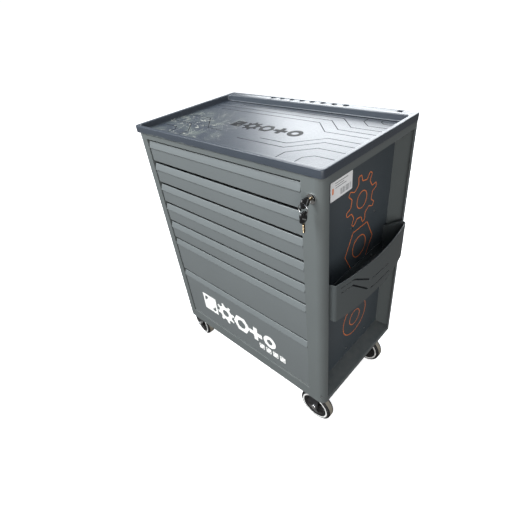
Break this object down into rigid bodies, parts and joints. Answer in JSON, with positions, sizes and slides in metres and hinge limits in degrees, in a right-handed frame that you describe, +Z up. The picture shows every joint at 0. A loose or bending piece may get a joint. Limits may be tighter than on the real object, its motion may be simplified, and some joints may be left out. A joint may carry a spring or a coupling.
{
  "type": "rolling tool chest",
  "caption": "Grey steel tool chest on casters with stacked drawers, a moulded worktop tray, a lock with keys and a bowed side bin.",
  "frame": {"origin": "centre of the whole footprint at floor level, casters, side bin and keys included", "axes": "+Z up, +Y towards the back, -Y the way the drawers open, +X towards the lock and the side bin"},
  "size_m": [0.7992, 0.461, 0.961],
  "materials": {
    "front_paint": "fine textured powder coat, satin",
    "drawer_paint": "smooth powder coat",
    "slide_zinc": "zinc plated, rolled",
    "panel_paint": "fine textured powder coat, dark",
    "worktop_abs": "grained moulded plastic with an engraved pattern",
    "bin_paint": "fine textured powder coat",
    "body_paint": "fine textured powder coat, satin",
    "bright_chrome": "polished",
    "key_plastic": "moulded key cover",
    "hub_plastic": "moulded hub",
    "tyre_rubber": "rubber with a worn tread",
    "brake_enamel": "black enamel",
    "caster_black": "black coated pressed steel",
    "bolt_zinc": "zinc plated",
    "graphic_white": "cut film",
    "graphic_orange": "cut film",
    "label_paper": "coated paper label"
  },
  "bodies": {
    "cabinet": {"side_panel_left": "panel_paint", "side_panel_right": "panel_paint", "back_panel": "body_paint", "base_pan": "body_paint", "top_deck": "body_paint", "post_left": "body_paint", "post_right": "body_paint", "bottom_rail": "body_paint", "worktop": "worktop_abs", "side_bin": "bin_paint", "cabinet_rails_left": "slide_zinc", "cabinet_rails_right": "slide_zinc", "lock_body": "bright_chrome", "panel_rivets": "bolt_zinc", "caster_bolts": "bolt_zinc", "fixed_bracket_front": "caster_black", "fixed_bracket_rear": "caster_black", "fixed_axles": "bright_chrome", "swivel_plate_front": "caster_black", "swivel_plate_rear": "caster_black"},
    "drawer_1": {"drawer_box_1": "drawer_paint", "drawer_front_1": "front_paint"},
    "drawer_2": {"drawer_box_2": "drawer_paint", "drawer_front_2": "front_paint"},
    "drawer_3": {"drawer_box_3": "drawer_paint", "drawer_front_3": "front_paint"},
    "drawer_4": {"drawer_box_4": "drawer_paint", "drawer_front_4": "front_paint"},
    "drawer_5": {"drawer_box_5": "drawer_paint", "drawer_front_5": "front_paint"},
    "drawer_6": {"drawer_box_6": "drawer_paint", "drawer_front_6": "front_paint"},
    "drawer_7": {"drawer_box_7": "drawer_paint", "drawer_front_7": "front_paint"},
    "slide_1": {"slide_members_1": "slide_zinc"},
    "slide_2": {"slide_members_2": "slide_zinc"},
    "slide_3": {"slide_members_3": "slide_zinc"},
    "slide_4": {"slide_members_4": "slide_zinc"},
    "slide_5": {"slide_members_5": "slide_zinc"},
    "slide_6": {"slide_members_6": "slide_zinc"},
    "slide_7": {"slide_members_7": "slide_zinc"},
    "lock_plug": {"lock_plug": "bright_chrome"},
    "lock_bar": {"lock_bar": "bolt_zinc"},
    "key": {"key": "key_plastic"},
    "key_ring": {"key_ring": "bright_chrome"},
    "spare_key": {"spare_key": "key_plastic"},
    "wheel_front_right": {"hub_front_right": "hub_plastic", "tyre_front_right": "tyre_rubber"},
    "wheel_rear_right": {"hub_rear_right": "hub_plastic", "tyre_rear_right": "tyre_rubber"},
    "wheel_front_left": {"hub_front_left": "hub_plastic", "tyre_front_left": "tyre_rubber"},
    "wheel_rear_left": {"hub_rear_left": "hub_plastic", "tyre_rear_left": "tyre_rubber"},
    "swivel_front": {"fork_front": "caster_black", "fork_axle_front": "bright_chrome"},
    "brake_lever_front": {"brake_front": "brake_enamel"},
    "swivel_rear": {"fork_rear": "caster_black", "fork_axle_rear": "bright_chrome"},
    "brake_lever_rear": {"brake_rear": "brake_enamel"}
  },
  "joints": [
    {"name": "drawer_1_pull", "type": "slide", "parent": "cabinet", "child": "drawer_1", "axis": [0, -1, 0], "range_m": [0, 0.36]},
    {"name": "slide_1_travel", "type": "slide", "parent": "cabinet", "child": "slide_1", "axis": [0, -1, 0], "range_m": [0, 0.18]},
    {"name": "drawer_2_pull", "type": "slide", "parent": "cabinet", "child": "drawer_2", "axis": [0, -1, 0], "range_m": [0, 0.36]},
    {"name": "slide_2_travel", "type": "slide", "parent": "cabinet", "child": "slide_2", "axis": [0, -1, 0], "range_m": [0, 0.18]},
    {"name": "drawer_3_pull", "type": "slide", "parent": "cabinet", "child": "drawer_3", "axis": [0, -1, 0], "range_m": [0, 0.36]},
    {"name": "slide_3_travel", "type": "slide", "parent": "cabinet", "child": "slide_3", "axis": [0, -1, 0], "range_m": [0, 0.18]},
    {"name": "drawer_4_pull", "type": "slide", "parent": "cabinet", "child": "drawer_4", "axis": [0, -1, 0], "range_m": [0, 0.36]},
    {"name": "slide_4_travel", "type": "slide", "parent": "cabinet", "child": "slide_4", "axis": [0, -1, 0], "range_m": [0, 0.18]},
    {"name": "drawer_5_pull", "type": "slide", "parent": "cabinet", "child": "drawer_5", "axis": [0, -1, 0], "range_m": [0, 0.36]},
    {"name": "slide_5_travel", "type": "slide", "parent": "cabinet", "child": "slide_5", "axis": [0, -1, 0], "range_m": [0, 0.18]},
    {"name": "drawer_6_pull", "type": "slide", "parent": "cabinet", "child": "drawer_6", "axis": [0, -1, 0], "range_m": [0, 0.36]},
    {"name": "slide_6_travel", "type": "slide", "parent": "cabinet", "child": "slide_6", "axis": [0, -1, 0], "range_m": [0, 0.18]},
    {"name": "drawer_7_pull", "type": "slide", "parent": "cabinet", "child": "drawer_7", "axis": [0, -1, 0], "range_m": [0, 0.36]},
    {"name": "slide_7_travel", "type": "slide", "parent": "cabinet", "child": "slide_7", "axis": [0, -1, 0], "range_m": [0, 0.18]},
    {"name": "lock_turn", "type": "hinge", "parent": "cabinet", "child": "lock_plug", "pos_m": [0.33512, -0.1895, 0.892], "axis": [0, -1, 0], "range_deg": [0, 90]},
    {"name": "lock_bar_lift", "type": "slide", "parent": "cabinet", "child": "lock_bar", "axis": [0, 0, 1], "range_m": [0, 0.008]},
    {"name": "key_withdraw", "type": "slide", "parent": "lock_plug", "child": "key", "axis": [0, -1, 0], "range_m": [0, 0.03]},
    {"name": "key_ring_swing", "type": "hinge", "parent": "key", "child": "key_ring", "pos_m": [0.33512, -0.2195, 0.892], "axis": [1, 0, 0], "range_deg": [-15, 8]},
    {"name": "spare_key_swing", "type": "hinge", "parent": "key_ring", "child": "spare_key", "pos_m": [0.33512, -0.2195, 0.868], "axis": [1, 0, 0], "range_deg": [-15, 8]},
    {"name": "wheel_front_right_roll", "type": "hinge", "parent": "cabinet", "child": "wheel_front_right", "pos_m": [0.30062, -0.141, 0.06], "axis": [0, 1, 0], "continuous": true},
    {"name": "wheel_rear_right_roll", "type": "hinge", "parent": "cabinet", "child": "wheel_rear_right", "pos_m": [0.30062, 0.187, 0.06], "axis": [0, 1, 0], "continuous": true},
    {"name": "caster_front_swivel", "type": "hinge", "parent": "cabinet", "child": "swivel_front", "pos_m": [-0.29538, -0.136, 0.164], "axis": [0, 0, 1], "continuous": true},
    {"name": "wheel_front_left_roll", "type": "hinge", "parent": "swivel_front", "child": "wheel_front_left", "pos_m": [-0.33895, -0.12988, 0.06], "axis": [-0.1392, -0.9903, 0], "continuous": true},
    {"name": "brake_front_press", "type": "hinge", "parent": "swivel_front", "child": "brake_lever_front", "pos_m": [-0.34687, -0.12876, 0.1404], "axis": [-0.1392, -0.9903, 0], "range_deg": [0, 20]},
    {"name": "caster_rear_swivel", "type": "hinge", "parent": "cabinet", "child": "swivel_rear", "pos_m": [-0.29538, 0.174, 0.164], "axis": [0, 0, 1], "continuous": true},
    {"name": "wheel_rear_left_roll", "type": "hinge", "parent": "swivel_rear", "child": "wheel_rear_left", "pos_m": [-0.33895, 0.16788, 0.06], "axis": [0.1392, -0.9903, 0], "continuous": true},
    {"name": "brake_rear_press", "type": "hinge", "parent": "swivel_rear", "child": "brake_lever_rear", "pos_m": [-0.34687, 0.16676, 0.1404], "axis": [0.1392, -0.9903, 0], "range_deg": [0, 20]}
  ],
  "couplings": [
    {"joint": "slide_1_travel", "follows": "drawer_1_pull", "ratio": 0.5},
    {"joint": "slide_2_travel", "follows": "drawer_2_pull", "ratio": 0.5},
    {"joint": "slide_3_travel", "follows": "drawer_3_pull", "ratio": 0.5},
    {"joint": "slide_4_travel", "follows": "drawer_4_pull", "ratio": 0.5},
    {"joint": "slide_5_travel", "follows": "drawer_5_pull", "ratio": 0.5},
    {"joint": "slide_6_travel", "follows": "drawer_6_pull", "ratio": 0.5},
    {"joint": "slide_7_travel", "follows": "drawer_7_pull", "ratio": 0.5},
    {"joint": "lock_turn", "follows": "lock_bar_lift", "rad_per_m": 196.34}
  ]
}
